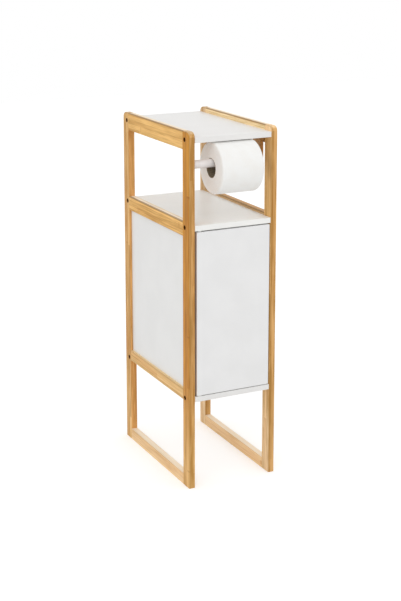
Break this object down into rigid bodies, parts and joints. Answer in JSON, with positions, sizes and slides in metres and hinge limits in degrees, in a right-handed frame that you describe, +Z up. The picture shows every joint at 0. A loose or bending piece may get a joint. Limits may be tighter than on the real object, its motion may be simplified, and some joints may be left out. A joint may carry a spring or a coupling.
{
  "type": "toilet roll storage cabinet",
  "caption": "Tall narrow cabinet with bamboo side frames, white boards, a pivoting push-to-open door and a toilet roll on an arm in the open bay.",
  "frame": {"origin": "on the floor, under the middle of the box round the whole object with the roll on its arm", "axes": "+X right seen from the front, the door faces -Y, +Z up"},
  "size_m": [0.215, 0.3925, 0.8],
  "materials": {
    "bamboo_post": "clear satin lacquer over laminated bamboo",
    "bamboo_rail": "clear satin lacquer over laminated bamboo",
    "beech_dowel": "plain",
    "white_board": "white satin lacquer over fibreboard",
    "white_door": "white satin lacquer over fibreboard",
    "white_panel": "white satin lacquer over thin fibreboard",
    "zinc_steel": "zinc plated",
    "dark_steel": "dark plated",
    "white_nylon": "moulded",
    "grey_plastic": "moulded",
    "white_arm": "white satin paint",
    "cardboard_core": "grey-brown spiral board",
    "tissue_paper": "soft tissue"
  },
  "bodies": {
    "cabinet": {"left_front_post": "bamboo_post", "left_rear_post": "bamboo_post", "left_top_rail": "bamboo_rail", "left_shelf_rail": "bamboo_rail", "left_base_rail": "bamboo_rail", "left_foot_rail": "bamboo_rail", "left_side_panel": "white_panel", "left_frame_dowels": "beech_dowel", "right_front_post": "bamboo_post", "right_rear_post": "bamboo_post", "right_top_rail": "bamboo_rail", "right_shelf_rail": "bamboo_rail", "right_base_rail": "bamboo_rail", "right_foot_rail": "bamboo_rail", "right_side_panel": "white_panel", "right_frame_dowels": "beech_dowel", "top_board": "white_board", "shelf_board": "white_board", "bottom_board": "white_board", "back_panel": "white_panel", "back_panel_nails": "zinc_steel", "left_frame_screws": "dark_steel", "right_frame_screws": "dark_steel", "upper_pivot_bush": "white_nylon", "lower_pivot_bush": "white_nylon", "latch_housing": "grey_plastic", "latch_screws": "zinc_steel", "latch_spring": "zinc_steel", "roll_arm": "white_arm", "arm_stud": "zinc_steel", "roll_stop": "bamboo_rail", "roll_stop_dowels": "beech_dowel"},
    "door": {"door_panel": "white_door", "upper_pivot_pin": "zinc_steel", "lower_pivot_pin": "zinc_steel", "strike_plate": "zinc_steel", "strike_screws": "zinc_steel"},
    "plunger": {"latch_plunger": "white_nylon", "latch_magnet": "dark_steel"},
    "toilet_roll": {"roll_core": "cardboard_core", "roll_paper": "tissue_paper"}
  },
  "joints": [
    {"name": "door_hinge", "type": "hinge", "parent": "cabinet", "child": "door", "pos_m": [-0.08, -0.14775, 0.398], "axis": [0, 0, -1], "range_deg": [0, 120]},
    {"name": "latch_press", "type": "slide", "parent": "cabinet", "child": "plunger", "axis": [0, 1, 0], "range_m": [0, 0.003], "stiffness_N_per_m": 400, "springref_m": -0.002, "deforming": ["latch_spring"]},
    {"name": "roll_spin", "type": "hinge", "parent": "cabinet", "child": "toilet_roll", "pos_m": [0.003, -0.13875, 0.7168], "axis": [1, 0, 0], "continuous": true}
  ]
}
